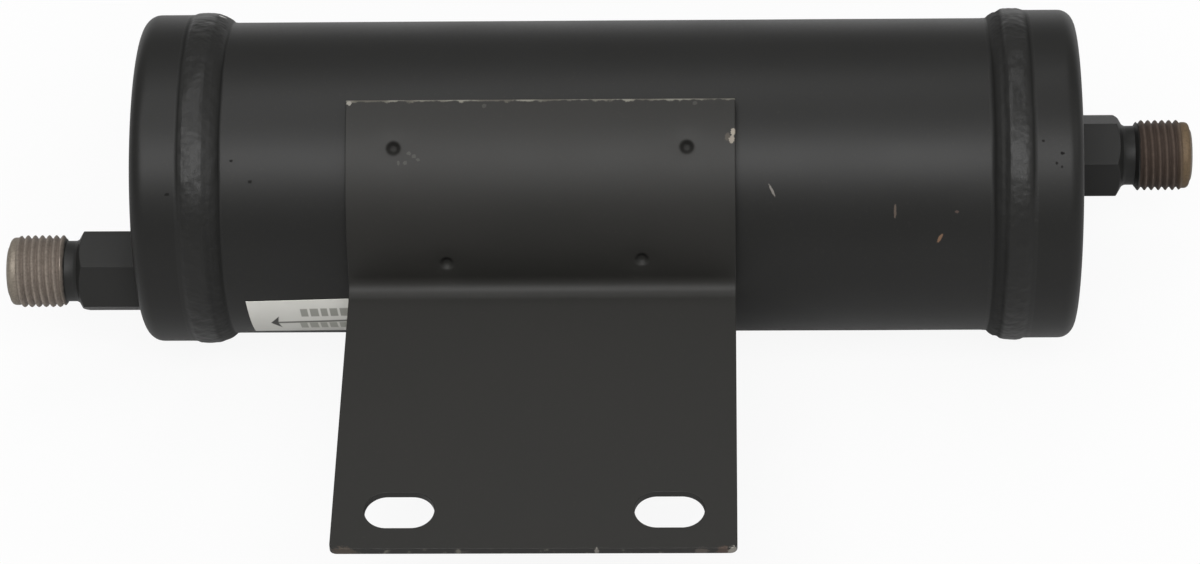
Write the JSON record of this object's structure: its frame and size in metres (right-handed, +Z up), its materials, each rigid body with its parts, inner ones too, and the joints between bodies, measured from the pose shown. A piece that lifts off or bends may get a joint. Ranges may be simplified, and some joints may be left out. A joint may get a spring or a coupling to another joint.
{
  "type": "receiver drier",
  "caption": "Cylindrical receiver drier: welded steel can holding a spring-loaded desiccant bed, an off-centre threaded face-seal fitting on each end and a slotted foot bracket.",
  "frame": {"origin": "middle of the two foot slots, on the foot's mounting face", "axes": "+X along the can from the outlet end to the inlet end, -Y out along the foot to its free edge, +Z up from the foot's mounting face through the sheet"},
  "size_m": [0.2364, 0.131, 0.066],
  "materials": {
    "can_paint": "satin black paint over drawn steel",
    "bracket_paint": "satin black paint, worn to steel along the sheared edges",
    "weld_paint": "black paint over a rippled weld bead",
    "outlet_fitting_steel": "turned steel, bare thread, painted hex",
    "inlet_fitting_steel": "turned steel, rust-stained thread, painted hex",
    "braze_metal": "braze fillet",
    "seal_rubber": "moulded O-ring",
    "label_film": "silver-grey printed film",
    "inner_steel": "pressed and pierced steel sheet",
    "spring_steel": "coiled spring wire",
    "filter_felt": "needled felt",
    "desiccant_beads": "packed sieve beads",
    "strainer_mesh": "woven wire thimble"
  },
  "bodies": {
    "root": {"shell_tube": "can_paint", "outlet_end_cap": "can_paint", "inlet_end_cap": "can_paint", "outlet_cap_weld": "weld_paint", "inlet_cap_weld": "weld_paint", "outlet_fitting": "outlet_fitting_steel", "inlet_fitting": "inlet_fitting_steel", "outlet_fitting_braze": "braze_metal", "inlet_fitting_braze": "braze_metal", "outlet_face_seal": "seal_rubber", "inlet_face_seal": "seal_rubber", "mounting_bracket": "bracket_paint", "bracket_spot_welds": "weld_paint", "flow_label": "label_film", "outlet_plate_spacer": "inner_steel", "outlet_perforated_plate": "inner_steel", "outlet_filter_pad": "filter_felt", "desiccant_bed": "desiccant_beads", "inlet_filter_pad": "filter_felt", "inlet_perforated_plate": "inner_steel", "bed_spring": "spring_steel", "outlet_strainer": "strainer_mesh"}
  },
  "joints": []
}
